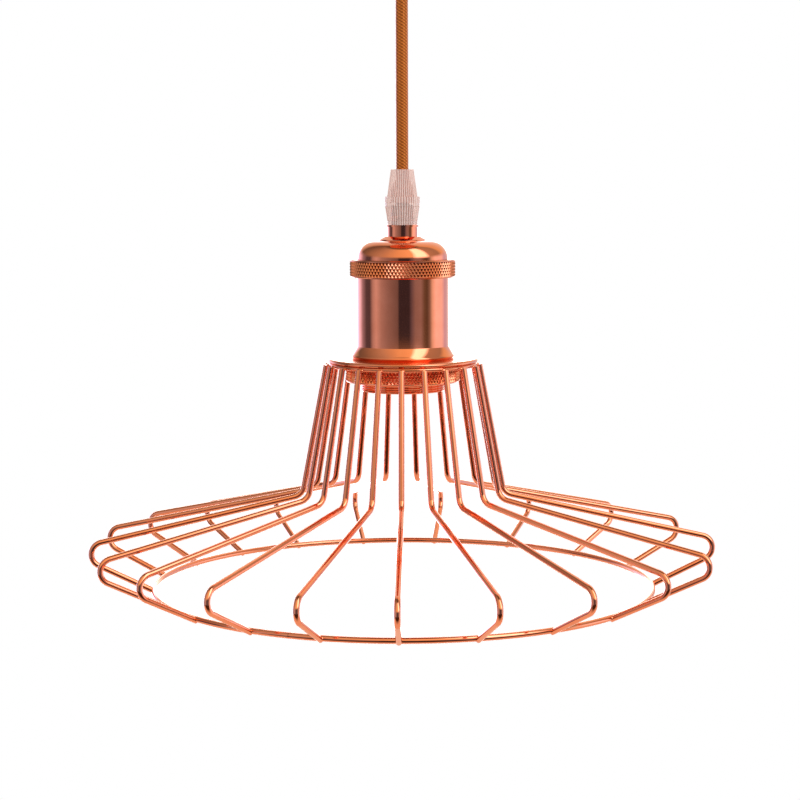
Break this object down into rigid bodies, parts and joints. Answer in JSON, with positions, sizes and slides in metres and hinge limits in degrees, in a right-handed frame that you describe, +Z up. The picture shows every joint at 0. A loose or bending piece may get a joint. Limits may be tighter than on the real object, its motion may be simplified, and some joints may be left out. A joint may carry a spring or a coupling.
{
  "type": "wire cage pendant lamp",
  "caption": "Copper pendant lamp: a bell-shaped open cage of bent wires on a knurled screw lamp holder, hung by a short braided cord from a round ceiling rose.",
  "frame": {"origin": "centre of the ceiling rose, on the ceiling face", "axes": "+Z up into the ceiling along the lamp's axis, +X along the rose bracket, the pictured front faces -Y"},
  "size_m": [0.2811, 0.2803, 0.3177],
  "materials": {
    "copper_plate": "polished copper plating",
    "clear_plastic": "translucent",
    "cord_braid": "braided, shiny",
    "zinc_steel": "zinc plated",
    "brass": "plain",
    "porcelain": "glazed",
    "white_nylon": "plain",
    "live_sleeve": "plain",
    "neutral_sleeve": "plain",
    "earth_sleeve": "plain"
  },
  "bodies": {
    "root": {"rib_01": "copper_plate", "rib_02": "copper_plate", "rib_03": "copper_plate", "rib_04": "copper_plate", "rib_05": "copper_plate", "rib_06": "copper_plate", "rib_07": "copper_plate", "rib_08": "copper_plate", "rib_09": "copper_plate", "rib_10": "copper_plate", "rib_11": "copper_plate", "rib_12": "copper_plate", "rib_13": "copper_plate", "rib_14": "copper_plate", "rib_15": "copper_plate", "rib_16": "copper_plate", "rib_17": "copper_plate", "rib_18": "copper_plate", "rib_19": "copper_plate", "rib_20": "copper_plate", "bottom_ring": "copper_plate", "shade_plate": "copper_plate", "shade_nut": "copper_plate", "holder_shell": "copper_plate", "union_collar": "copper_plate", "dome_cap": "copper_plate", "step_washer": "copper_plate", "neck_collar": "copper_plate", "rose_cup": "copper_plate", "rose_screw_left": "copper_plate", "rose_screw_right": "copper_plate", "grip_body": "clear_plastic", "grip_cap": "clear_plastic", "grip_screw": "clear_plastic", "rose_grip_body": "clear_plastic", "rose_grip_cap": "clear_plastic", "rose_grip_screw": "clear_plastic", "cord": "cord_braid", "stem_tube": "zinc_steel", "stem_nut": "zinc_steel", "earth_tag": "zinc_steel", "rose_stem_tube": "zinc_steel", "rose_stem_nut": "zinc_steel", "rose_bracket": "zinc_steel", "screw_shell": "brass", "centre_contact": "brass", "live_terminal": "brass", "neutral_terminal": "brass", "live_terminal_screw": "brass", "neutral_terminal_screw": "brass", "ceramic_insulator": "porcelain", "rose_terminal_block": "white_nylon", "live_core": "live_sleeve", "neutral_core": "neutral_sleeve", "earth_core": "earth_sleeve"}
  },
  "joints": []
}
